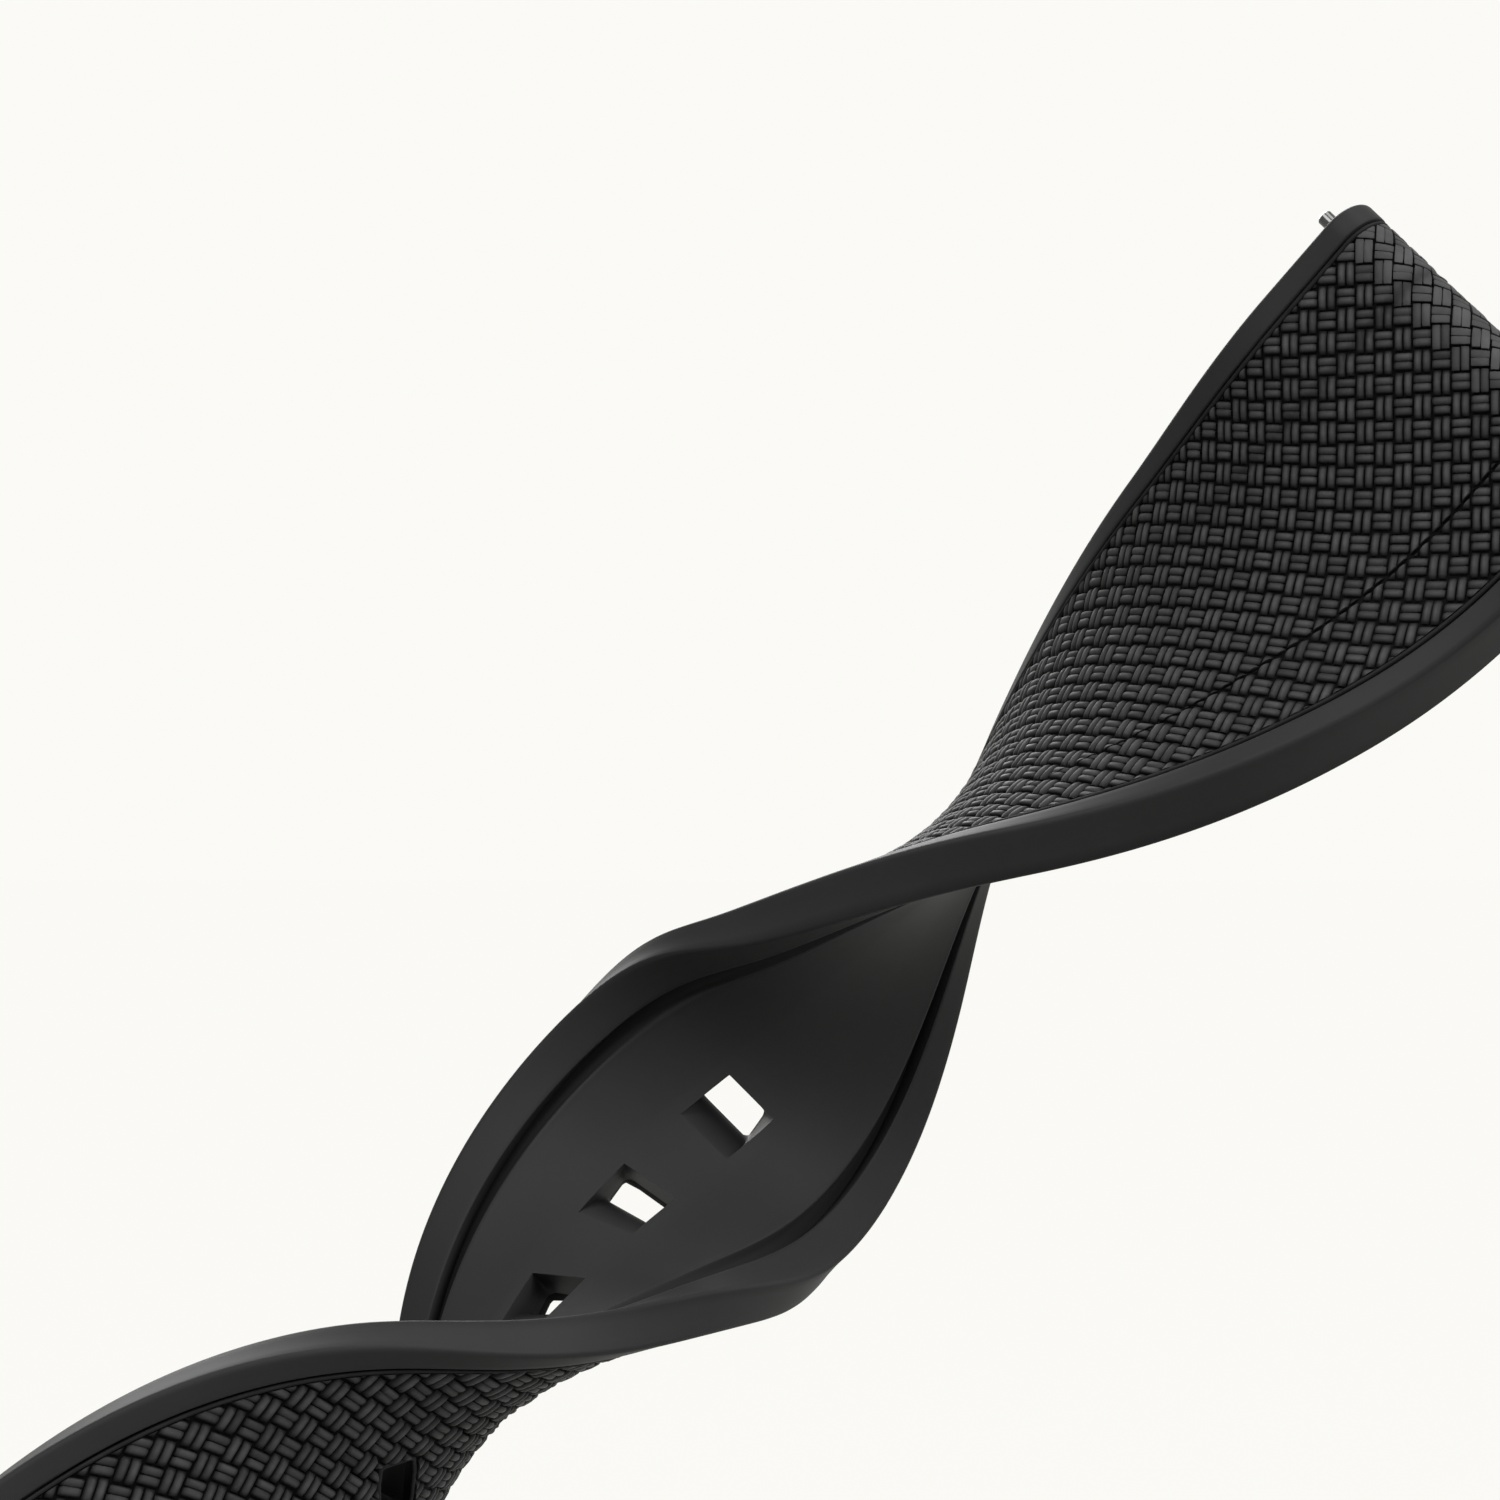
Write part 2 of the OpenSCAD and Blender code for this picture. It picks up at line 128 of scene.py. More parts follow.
def on_strap(s, u, v, roll=0.0):
    """Points in metres. s along, u across, v out of the front. A roll (degrees) turns them towards the nose."""
    s, u, v, roll = np.broadcast_arrays(*(np.asarray(a, float) for a in (s, u, v, roll)))
    along, across, front = directions(s)
    r = np.radians(roll)[..., None]
    out = front * np.cos(r) - along * np.sin(r) * np.sign(v)[..., None]
    return (place(s) + across * u[..., None] + out * v[..., None]) * MM


def half_w(s):
    return mix(LUG_W, TAIL_W, smooth(BLOCK_L, TAPER_END_S, s)) / 2


def half_t(s):
    s = np.asarray(s, float)
    thick = mix(LUG_T, MID_T, smooth(BLOCK_L, MID_S, s))
    thin = mix(MID_T, TIP_T, (s - MID_S) / (STRAP_L - MID_S))
    return np.where(s < MID_S, thick, thin) / 2


def tip_narrow(s):
    """The share of its width that the strap keeps at its round tip."""
    x = np.clip((s - (STRAP_L - TIP_L)) / TIP_L, 0, 1)
    return mix(TIP_FLAT, 1, np.sqrt(1 - x * x))


def inner_narrow(s):
    """The same for the recess and its panel, which end in a round of their own."""
    x = np.clip((s - (PANEL_END - PANEL_ROUND_L)) / PANEL_ROUND_L, 0, 1)
    return np.minimum(mix(TIP_FLAT, 1, np.sqrt(1 - x * x)), tip_narrow(s))


def channel_depth(s):
    return CHANNEL_D * smooth(*CHANNEL_START, s) * smooth(*CHANNEL_STOP, s)


def panel_half_w(s):
    return half_w(s) - BORDER_W - WALL_DRAFT - PANEL_GAP


# ---------------------------------------------------------------- mesh helpers
def linked(name, data):
    """A new object in the scene."""
    ob = bpy.data.objects.new(name, data)
    bpy.context.scene.collection.objects.link(ob)
    return ob


def new_object(name, made, material, sharp):
    """An object from a collected Mesh, welded and smooth, with its edges over the sharp angle kept sharp."""
    mesh = bpy.data.meshes.new(name)
    mesh.from_pydata([tuple(v) for v in np.vstack(made.blocks)], [], made.faces)
    crest = np.asarray(np.concatenate(made.crests), np.float32)
    mesh.attributes.new("crest", "FLOAT", "POINT").data.foreach_set("value", crest)
    bm = bmesh.new()
    bm.from_mesh(mesh)
    bmesh.ops.remove_doubles(bm, verts=bm.verts, dist=1e-7)
    bmesh.ops.dissolve_degenerate(bm, edges=bm.edges, dist=1e-8)
    bmesh.ops.recalc_face_normals(bm, faces=bm.faces)
    bm.to_mesh(mesh)
    bm.free()
    for p in mesh.polygons:
        p.use_smooth = True
    mesh.set_sharp_from_angle(angle=math.radians(sharp))
    mesh.materials.append(material)
    return linked(name, mesh)


class Mesh:
    """Collects points and faces, with points given in the strap's own coordinates. A point's crest, 0 to 1, says how
    far it stands out of the gaps, channels and holes, where painted shade makes the surface darker."""

    def __init__(self):
        self.blocks, self.faces, self.crests, self.count = [], [], [], 0

    def points(self, s, u, v, roll=0.0, crest=0.0):
        p = on_strap(s, u, v, roll)
        shape = p.shape[:-1]
        self.crests.append(np.broadcast_to(np.asarray(crest, float), shape).reshape(-1))
        ids = np.arange(self.count, self.count + int(np.prod(shape))).reshape(shape)
        self.blocks.append(p.reshape(-1, 3))
        self.count += ids.size
        return ids

    def grid(self, ids, skip=None, closed=False):
        n, m = ids.shape
        last = m if closed else m - 1
        for i in range(n - 1):
            for j in range(last):
                if skip is not None and skip(i, j):
                    continue
                k = (j + 1) % m
                self.faces.append((ids[i, j], ids[i, k], ids[i + 1, k], ids[i + 1, j]))

    def sheets(self, top, under, blocks, j0, j1):
        """The faces of a front and a back, left open where the holes are, and of their two ends."""
        def in_hole(i, j):
            return j0 <= j < j1 and any(a <= i < z for a, z in blocks)

        self.grid(top, in_hole)
        self.grid(under, in_hole)
        self.grid(np.stack([top[0], under[0]], 0))
        self.grid(np.stack([top[-1], under[-1]], 0))


# ---------------------------------------------------------------- stations along the strap
CELL, STRIP = 3.0, 2.6  # half length and half width of the patch round a hole
NOSE_TURN = 110.0  # the panel goes this far round the nose
TURNS = np.linspace(1, 0, 19)[:-1]  # the steps round the nose


def rounded(a, b, end, length, n):
    """Stations that close up towards a rounded end."""
    t = np.linspace(math.asin((a - end + length) / length), math.asin((b - end + length) / length), n)
    return list(end - length * (1 - np.sin(t)))


def stations(block_n, run_n, cell_n, gap_n, round_n):
    """Stations from the bar to the panel's end, by the count for each stretch, and the block of them round each
    hole."""
    s = list(np.linspace(BAR_S, BLOCK_L, block_n)) + list(np.linspace(BLOCK_L, HOLES[0] - CELL, run_n)[1:])
    cells = []
    for i, h in enumerate(HOLES):
        cells.append((len(s) - 1 + len(TURNS), len(s) - 2 + cell_n + len(TURNS)))
        s += list(np.linspace(h - CELL, h + CELL, cell_n)[1:])
        if i < len(HOLES) - 1:
            s += list(np.linspace(h + CELL, HOLES[i + 1] - CELL, gap_n)[1:])
    s += list(np.linspace(s[-1], PANEL_END - PANEL_ROUND_L, 5)[1:])
    s += rounded(PANEL_END - PANEL_ROUND_L, PANEL_END, PANEL_END, PANEL_ROUND_L, round_n)[1:]
    return s, cells


def slot_mid(h):
    """The middle of the slot of the hole at h."""
    return h - MOUTH_L / 2 + SLOT_L / 2 - SLOT_BACK


# ---------------------------------------------------------------- moulded body
CENTRE = np.linspace(-STRIP, STRIP, 14)  # lines across the middle strip, where the holes are
EDGE_R, RIM_R = 0.32, 0.1  # the rounding of the strap's edge and of the border's inner edge
EDGE_STEPS, RIM_STEPS = np.radians([0, 18, 36, 54, 72, 90]), np.radians([0, 30, 60, 90])
BORDER_SHARES = (0.35, 0.7)  # lines along the border, between its two edges
WALL_SHARE = 0.7  # a line on the recess's wall, by the share of its depth
DRIFT = np.array([1 - math.cos(a) for a in EDGE_STEPS] + [0.65, 0.3])  # how far each line follows the outline's normal
SLOPE_REACH = 0.02  # the outline's slope is taken over this length, ahead and behind
END_STEPS = np.radians([25, 45, 60, 75, 90])  # round the edge of the free end
END_WALL = (0.0, 0.02, 0.14)  # stations over the recess's end wall
FRONT_TURN = NOSE_TURN + 2  # how far the front goes round the nose, where the back meets it
# a channel's section: places from its outer edge inwards, and its depth there as a share
CHANNEL = ((0.25, 0), (0.07, 0), (0.02, 0.0375), (-0.02, 0.5), (-0.03, 1.0), (-0.3, 0.93), (-0.65, 0.72),
           (-0.82, 0.52), (-0.9, 0.2), (-0.96, -0.015), (-1.05, -0.0675), (-1.2, -0.045), (-1.45, 0.0))
# rings round a hole: shares of the way over the back to its mouth, and shares of its depth
PATCH_SHARES = (0.3, 0.6, 0.85, 0.97)
DEPTH_SHARES = (0.0, 0.04, 0.1, 0.2, 0.32, 0.45, 0.6, 0.8, 1.0)


def outline_normal(s):
    """The outline's normal: its part along the strap, which only the free end has, and its part across."""
    near = np.clip(s, 0, STRAP_L - SLOPE_REACH * 1.5)
    ahead, behind = (half_w(x) * tip_narrow(x) for x in (near + SLOPE_REACH, near - SLOPE_REACH))
    slope = np.where(s > STRAP_L - TIP_L, (ahead - behind) / (2 * SLOPE_REACH), 0.0)
    return -slope / np.hypot(1, slope), 1 / np.hypot(1, slope)


def ending(s):
    """0 to 1 over the rounding of the tip's edge."""
    return np.clip((s - (STRAP_L - EDGE_R)) / EDGE_R, 0, 1)


def drifted(s, columns):
    """Stations for every column, with the edge's rounding drawn back along the outline's normal."""
    along, _ = outline_normal(s)
    back = np.zeros(columns)
    back[:len(DRIFT)], back[-len(DRIFT):] = DRIFT, DRIFT[::-1]
    return s[:, None] - (EDGE_R * along * (1 - ending(s)))[:, None] * back


def recess_depth(s):
    return np.where(s > PANEL_END + PANEL_GAP + END_WALL[1] / 2, 0.0, RECESS_D)


def body_chain(s):
    """Half of a section, from the edge inwards: u, front v and back v, for every s."""
    s = np.asarray(s, float)
    w, t = half_w(s), half_t(s)
    t = t - EDGE_R * (1 - np.sqrt(1 - ending(s) ** 2))
    k, m = tip_narrow(s), inner_narrow(s)
    deep, channel = recess_depth(s), channel_depth(s)
    floor = t - deep
    rows = []
    _, across = outline_normal(s)
    for a in EDGE_STEPS:
        v = t - EDGE_R * (1 - math.sin(a))
        rows.append((w * k - EDGE_R * (1 - math.cos(a)) * across, v, -v))
    for f in BORDER_SHARES:
        rows.append(((w - mix(EDGE_R, BORDER_W - RIM_R, f)) * mix(k, m, f), t, -t))
    rim = w - BORDER_W
    for a in RIM_STEPS:
        rows.append(((rim + RIM_R * (1 - math.sin(a))) * m, t - np.minimum(RIM_R, deep) * (1 - math.cos(a)), -t))
    rows.append(((rim - WALL_DRAFT) * m, mix(t, floor, WALL_SHARE), -t))
    rows.append(((rim - WALL_DRAFT) * m, floor, -t))
    for place_u, share in CHANNEL:
        rows.append(((w - CHANNEL_IN + place_u) * m, floor, share * channel - t))
    u, f, b = (np.stack([np.broadcast_to(r[i], s.shape) for r in rows], -1) for i in range(3))
    return u, f, b


def sections(s):
    """Whole sections: the half chain, the middle strip's lines, and the half chain mirrored."""
    u, f, b = body_chain(s)
    mid = CENTRE[None, :] * inner_narrow(s)[:, None]
    mid_f = np.broadcast_to((half_t(s) - recess_depth(s))[:, None], mid.shape)
    mid_b = np.broadcast_to(-half_t(s)[:, None], mid.shape)
    whole = [np.concatenate([side, middle, side[:, ::-1]], 1) for side, middle in ((f, mid_f), (b, mid_b))]
    return np.concatenate([-u, mid, u[:, ::-1]], 1), *whole


def rect_ring(s_mid, half_s, half_u, ab, radius=0.0):
    """The rectangle's outline at the normalised points ab, with its corners rounded."""
    x, y = ab[:, 0] * half_s, ab[:, 1] * half_u
    if radius > 0:
        qx, qy = np.abs(x) - (half_s - radius), np.abs(y) - (half_u - radius)
        both = (qx > 0) & (qy > 0)
        n = np.hypot(qx, qy) + 1e-12
        x = np.where(both, np.sign(x) * (half_s - radius + qx / n * radius), x)
        y = np.where(both, np.sign(y) * (half_u - radius + qy / n * radius), y)
    return s_mid + x, y


def rim_of(ids, i0, i1, j0, j1):
    """The points round a block of a grid, in order, with their normalised places in it."""
    path = [(i, j0) for i in range(i0, i1)] + [(i1, j) for j in range(j0, j1)]
    path += [(i, j1) for i in range(i1, i0, -1)] + [(i0, j) for j in range(j1, j0, -1)]
    ab = np.array([((i - i0) / (i1 - i0) * 2 - 1, (j - j0) / (j1 - j0) * 2 - 1) for i, j in path])
    return np.array([ids[i, j] for i, j in path]), ab


def hole_rings(m, h, ab):
    """The rings from the patch's rim on the back, over the mouth's edge and down the ramped walls to the front."""
    rings = []
    half_l, half_u = SLOT_L / 2, MOUTH_W / 2 - SLOT_INSET
    mouth_lo, mouth_hi = h - MOUTH_L / 2, h + MOUTH_L / 2 + MOUTH_DRAWN
    slot_lo, slot_hi = slot_mid(h) - half_l, slot_mid(h) + half_l
    for f in PATCH_SHARES:
        middle, half = mix(h, (mouth_lo + mouth_hi) / 2, f), mix(CELL, (mouth_hi - mouth_lo) / 2, f)
        x, y = rect_ring(middle, half, mix(STRIP, MOUTH_W / 2, f), ab)
        rings.append(m.points(x, y, -half_t(x), crest=1.0))
    for f in DEPTH_SHARES:
        low, high = mix(mouth_lo, slot_lo, f), mix(slot_hi, mouth_hi, (1 - f) ** 2)
        width = mix(MOUTH_W / 2, half_u, f)
        x, y = rect_ring((low + high) / 2, (high - low) / 2, width, ab, MOUTH_ROUND + SLOT_ROUND * f * f)
        v = mix(-half_t(x), half_t(x) - RECESS_D, f)
        # painted shade: the walls darken with depth, fully dark from MOUTH_SHADE of the way down
        rings.append(m.points(x, y, v, crest=max(0.0, 1 - f / MOUTH_SHADE)))
    x, y = rect_ring(slot_mid(h), half_l + SLOT_LEDGE, half_u + SLOT_LEDGE, ab, LEDGE_ROUND)
    return rings + [m.points(x, y, half_t(x) - RECESS_D)]


def build_body():
    """The rubber strap: its front and back, its two edges, and the walls of its holes."""
    s, blocks = stations(block_n=13, run_n=120, cell_n=17, gap_n=5, round_n=12)
    s += [PANEL_END + PANEL_GAP + past for past in END_WALL]
    s += rounded(PANEL_END + 0.5, STRAP_L - EDGE_R, STRAP_L, TIP_L, 16)
    s += list(STRAP_L - EDGE_R + EDGE_R * np.sin(END_STEPS))
    s_all = np.concatenate([np.full(len(TURNS), BAR_S), s])
    f_roll = np.concatenate([TURNS * FRONT_TURN, np.zeros(len(s))])
    b_roll = np.concatenate([TURNS * (180 - FRONT_TURN), np.zeros(len(s))])
    u, f, b = sections(s_all)
    m = Mesh()
    places = drifted(s_all, u.shape[1])
    top = m.points(places, u, f, f_roll[:, None], crest=1.0)
    # painted shade: the back darkens with the depth of its channels
    sunk = np.clip((b + half_t(s_all)[:, None]) / CHANNEL_D, 0, 1)
    under = m.points(places, u, b, b_roll[:, None], crest=1 - sunk)
    j0 = (u.shape[1] - len(CENTRE)) // 2
    j1 = j0 + len(CENTRE) - 1
    m.sheets(top, under, blocks, j0, j1)
    side_v = half_t(s_all) - EDGE_R
    for j in (0, u.shape[1] - 1):
        upper = m.points(s_all, u[:, j], side_v * 0.5, f_roll, crest=1.0)
        lower = m.points(s_all, u[:, j], -side_v * 0.5, b_roll, crest=1.0)
        m.grid(np.stack([top[:, j], upper, lower, under[:, j]], 1))
    for (i0, i1), h in zip(blocks, HOLES):
        back, ab = rim_of(under, i0, i1, j0, j1)
        front, _ = rim_of(top, i0, i1, j0, j1)
        m.grid(np.stack([back, *hole_rings(m, h, ab), front], 0), closed=True)
    return m


# ---------------------------------------------------------------- woven panel
# The weave's lattice lies askew on the strap. A place on the front is (q, u): q along from the bar's axis, which goes
# on round the nose where it is negative, and u across. Columns run along one diagonal and rows along the other.
PITCH_COLUMN, PITCH_ROW = 1.058, 1.195
COLUMN_LEAN, ROW_LEAN = math.radians(44.6), math.radians(47.1)
COLUMN_START, ROW_START = 0.716, -0.01  # where the lattice sits, in columns and rows
LONG_HALF, LONG_W, LONG_APART = 0.56, 0.226, 0.232  # the pairs of strands along the columns, in rows and columns
SHORT_HALF, SHORT_W, SHORT_APART = 0.49, 0.195, 0.195  # the pairs along the rows, in columns and rows
GROUND = 0.26  # the ground lies this far under the strands' crests
RIM_W, RIM_GAP, RIM_H = 0.2, 0.06, 0.24  # the thin rim along the panel's edge
# the rim's section and the lip's round a slot: places from the edge inwards, and heights over the ground
RIM = ((0, -0.2), (0, RIM_H - 0.05), (0.05, RIM_H), (0.1, RIM_H + 0.01), (0.15, RIM_H), (RIM_W, RIM_H - 0.05),
       (RIM_W + 0.02, 0), (RIM_W + 0.6, 0))
SLOT_RIM = ((0.3, 0), (0.25, 0.1), (0.15, 0.13), (0.06, 0.1), (0.03, 0))
FURROW_U = 5.2  # two pressed furrows run along the panel, this far from its middle
FURROW_W, FURROW_FADE = 0.11, (42, 14)  # the right one's half width, and where it has faded and is whole
FURROW_LEAST = 0.004  # and the half width under which it no longer parts the strands
FAINT_W, FAINT_DEEP, FAINT_FADE = 0.3, 0.3, (24, 14)  # the left one only lowers the strands
SLOT_CLEAR = 0.28  # the strands stop this far from a slot
END_CLEAR, TAIL_CLEAR = 0.35, 0.2  # and this far inside the round end, along its sides and at its tip
KNOB_U, KNOB_ROOM = 3.6 - LUG_W / 2, 1.25  # the knob's place along the bar, and the room round it
NOTCH_LOW, NOTCH_HIGH = KNOB_U - KNOB_ROOM, KNOB_U + KNOB_ROOM + PLUNGER_TRAVEL / MM
NOTCH_TURN, NOTCH_MARGIN = 99.5, 0.6  # the panel's turn round the nose at the knob's notch, and this far beside it
NOTCH_REACH, NOTCH_UNDER, NOTCH_ROUND = 4.0, 0.35, 0.35  # the notch's other sizes, from the bar's axis
BORE_R, BORE_REACH = 0.95, 14.0  # the bar's bore goes right through the nose
RAILS = np.array([-1, -0.94, -0.6, -0.2, 0.2, 0.6, 0.94, 1])  # lines along one float, across its width
STEPS = np.array([-1, -0.93, -0.6, 0, 0.6, 0.93, 1])  # and places along it
# how a float falls off: towards its sides, and towards its ends
LONG_SIDES, LONG_ENDS = 0.93, (0.75, 0.6)
SHORT_SIDES, SHORT_ENDS = (0.65, 0.35), 0.5
END_TAPER, FLAT_FALL = 0.3, 0.12  # how much a float narrows, and how little it falls where it lies flat
FLAT_AT = (1.6, -0.6)  # it starts to lie flat just before the nose, and is flat on it
SHORT_TALL, FOOT = 0.92, -0.04  # the short pairs' height as a share, and a float's foot, inside the ground
SEED = 7
SPREAD = (0.01, 0.01, 0.03, 0.06)  # how far the floats vary: in columns, in rows, in length and in height
NOSE_Q, SIDE_U = -5, LUG_W / 2 - 1  # no float starts past these
MARGIN = 12  # columns and rows counted past the strap, so that none is missed


def furrow_w(q, side):
    """Half the width of the furrow: on the right it fades along the strap, and on the left it cuts nothing."""
    return FURROW_W * float(smooth(*FURROW_FADE, q)) if side > 0 else 0.0


def pressed(q, u):
    """How tall the strands are left along the faint furrow on the left."""
    return 1 - FAINT_DEEP * np.exp(-(((u + FURROW_U) / FAINT_W) ** 2)) * smooth(*FAINT_FADE, q)


def lattice(column, row):
    """The place (q, u) of a point given in columns and rows."""
    x = np.asarray(column, float) * PITCH_COLUMN
    y = np.asarray(row, float) * PITCH_ROW
    square = math.cos(COLUMN_LEAN - ROW_LEAN)
    q = (y * math.sin(COLUMN_LEAN) - x * math.cos(ROW_LEAN)) / square
    return q, (y * math.cos(COLUMN_LEAN) + x * math.sin(ROW_LEAN)) / square


def on_front(q, u, depth):
    """Strap coordinates (s, u, v, roll) of places on the front, depth under the panel's top."""
    q = np.asarray(q, float)
    s = BAR_S + np.maximum(q, 0)
    v = half_t(s) - PANEL_DROP - depth
    return s, u, v, np.degrees(np.maximum(-q, 0) / (LUG_T / 2 - PANEL_DROP))


def weave_edge(q):
    """Half the width that the strands fill, at q."""
    s = BAR_S + np.maximum(q, 0)
    return (panel_half_w(s) - RIM_W - RIM_GAP) * inner_narrow(s + END_CLEAR)


def strand_patch(long_way, side, half, flat):
    """One float of a strand round (0, 0): lattice offsets, and the height of its back, 0 to 1. The pairs along
    the columns are rounded strands; the pairs along the rows lie flatter, with a shallow line between them."""
    t, a = np.meshgrid(STEPS, RAILS, indexing="ij")
    outer = a * side > 0
    if long_way:
        across = np.sqrt(1 - LONG_SIDES * a * a)
        ends = 1 - np.where(t < 0, *LONG_ENDS) * np.abs(t) ** 3
    else:
        across = 1 - np.where(outer, SHORT_SIDES[0] * np.abs(a) ** 3, SHORT_SIDES[1] * a * a)
        ends = 1 - SHORT_ENDS * np.abs(t) ** 5
    width = (LONG_W if long_way else SHORT_W) * np.sqrt(1 - END_TAPER * t**6)
    arch = mix(across * ends, 1 - FLAT_FALL * np.maximum(a**4, t**6), flat)
    return (a * width, t * half, arch) if long_way else (t * half, a * width, arch)


def float_faces(steps, rails):
    """The quads of one float, and the ring under it that closes it."""
    ids = np.arange(steps * rails).reshape(steps, rails)
    corners = [(i, j) for i in range(steps - 1) for j in range(rails - 1)]
    quads = [(ids[i, j], ids[i, j + 1], ids[i + 1, j + 1], ids[i + 1, j]) for i, j in corners]
    ring = list(ids[0, :]) + list(ids[1:, -1]) + list(ids[-1, -2::-1]) + list(ids[-2:0:-1, 0])
    return quads, ring


def clip_float(points, faces, cuts):
    """A float (q, u, height) cut by upright planes (point, outward normal), closed again where it is cut."""
    bm = bmesh.new()
    vs = [bm.verts.new(p) for p in points]
    for f in faces:
        bm.faces.new([vs[i] for i in f])
    for at, outward in cuts:
        geom = bm.verts[:] + bm.edges[:] + bm.faces[:]
        bmesh.ops.bisect_plane(bm, geom=geom, plane_co=at, plane_no=outward, clear_outer=True)
        open_edges = [e for e in bm.edges if e.is_boundary]
        if open_edges:
            bmesh.ops.holes_fill(bm, edges=open_edges, sides=0)
    bm.verts.index_update()
    out = np.array([v.co[:] for v in bm.verts]).reshape(-1, 3).T
    kept = [tuple(v.index for v in f.verts) for f in bm.faces]
    bm.free()
    return out, kept


def cuts_for(pts, q, u):
    """The planes that keep one float, with its middle at (q, u), inside the panel: a list for each part that is
    left of it."""
    lo, hi = pts.min(0), pts.max(0)
    edge = float(weave_edge(q))
    side = 1 if u > 0 else -1
    w = float(furrow_w(q, side))
    cuts = []
    zones = [(-edge, FURROW_U - w), (FURROW_U + w, edge)] if w > FURROW_LEAST else [(-edge, edge)]
    round_nose = NOTCH_TURN if NOTCH_LOW - NOTCH_MARGIN < u < NOTCH_HIGH + NOTCH_MARGIN else NOSE_TURN
    nose = -math.radians(round_nose) * (LUG_T / 2 - PANEL_DROP) + RIM_GAP
    tail = PANEL_END - BAR_S - RIM_W - RIM_GAP - TAIL_CLEAR
    for limit, sign in ((nose, -1), (tail, 1)):
        if (lo[0] if sign < 0 else hi[0]) * sign > limit * sign:
            if (hi[0] if sign < 0 else lo[0]) * sign >= limit * sign:
                return []
            cuts.append(((limit, 0, 0), (sign, 0, 0)))
    for h in HOLES:
        mid_q, half_q = slot_mid(h) - BAR_S, SLOT_L / 2 + SLOT_CLEAR
        half_u = MOUTH_W / 2 - SLOT_INSET + SLOT_CLEAR
        if lo[0] > mid_q + half_q or hi[0] < mid_q - half_q or lo[1] > half_u or hi[1] < -half_u:
            continue
        past_q, past_u = abs(q - mid_q) - half_q, abs(u) - half_u
        if past_q > past_u:
            sign = 1 if q > mid_q else -1
            if (hi[0] if sign > 0 else -lo[0]) <= mid_q * sign + half_q:
                return []
            cuts.append(((mid_q + sign * half_q, 0, 0), (-sign, 0, 0)))
        else:
            if (hi[1] if side > 0 else -lo[1]) <= half_u:
                return []
            cuts.append(((0, side * half_u, 0), (0, -side, 0)))
    parts = []
    for zone in zones:
        if hi[1] > zone[0] + 0.01 and lo[1] < zone[1] - 0.01:
            bounds = [((0, zone[0], 0), (0, -1, 0))] if lo[1] < zone[0] else []
            bounds += [((0, zone[1], 0), (0, 1, 0))] if hi[1] > zone[1] else []
            parts.append(cuts + bounds)
    return parts


def build_strands():
    """All the floats of the basket weave: pairs along the columns and pairs along the rows take turns."""
    rng = np.random.default_rng(SEED)
    quads, ring = float_faces(len(STEPS), len(RAILS))
    faces = quads + [tuple(ring[::-1])]
    m = Mesh()
    far = PANEL_END - BAR_S
    reach = int(far / PITCH_COLUMN) + MARGIN
    for i in range(-reach, 2 * MARGIN):
        for j in range(-MARGIN, reach):
            q0, u0 = lattice(i + COLUMN_START, j + ROW_START)
            if q0 < NOSE_Q or q0 > far + 1 or abs(u0) > SIDE_U:
                continue
            long_way = (i + j) % 2 == 1
            half, apart = (LONG_HALF, LONG_APART) if long_way else (SHORT_HALF, SHORT_APART)
            flat = float(smooth(*FLAT_AT, q0))
            for side in (-1, 1):
                drift = rng.normal(0, SPREAD)
                di, dj, arch = strand_patch(long_way, side, half * (1 + drift[2]), flat)
                oi, oj = (side * apart, 0) if long_way else (0, side * apart)
                q, u = lattice(i + COLUMN_START + oi + drift[0] + di, j + ROW_START + oj + drift[1] + dj)
                tall = (GROUND if long_way else GROUND * SHORT_TALL) * (1 + min(drift[3], SPREAD[3]))
                height = (arch * tall * pressed(q, u)).reshape(-1)
                height[ring] = FOOT
                pts = np.stack([q.reshape(-1), u.reshape(-1), height], 1)
                for cuts in cuts_for(pts, float(q.mean()), float(u.mean())):
                    (q, u, h), kept = clip_float(pts, faces, cuts) if cuts else (pts.T, faces)
                    if kept:
                        # painted shade low on each float, rising to a painted highlight on its top
                        ids = m.points(*on_front(q, u, GROUND - h), crest=np.clip(h / GROUND, 0, 1))
                        m.faces += [tuple(ids[k] for k in f) for f in kept]
    return m


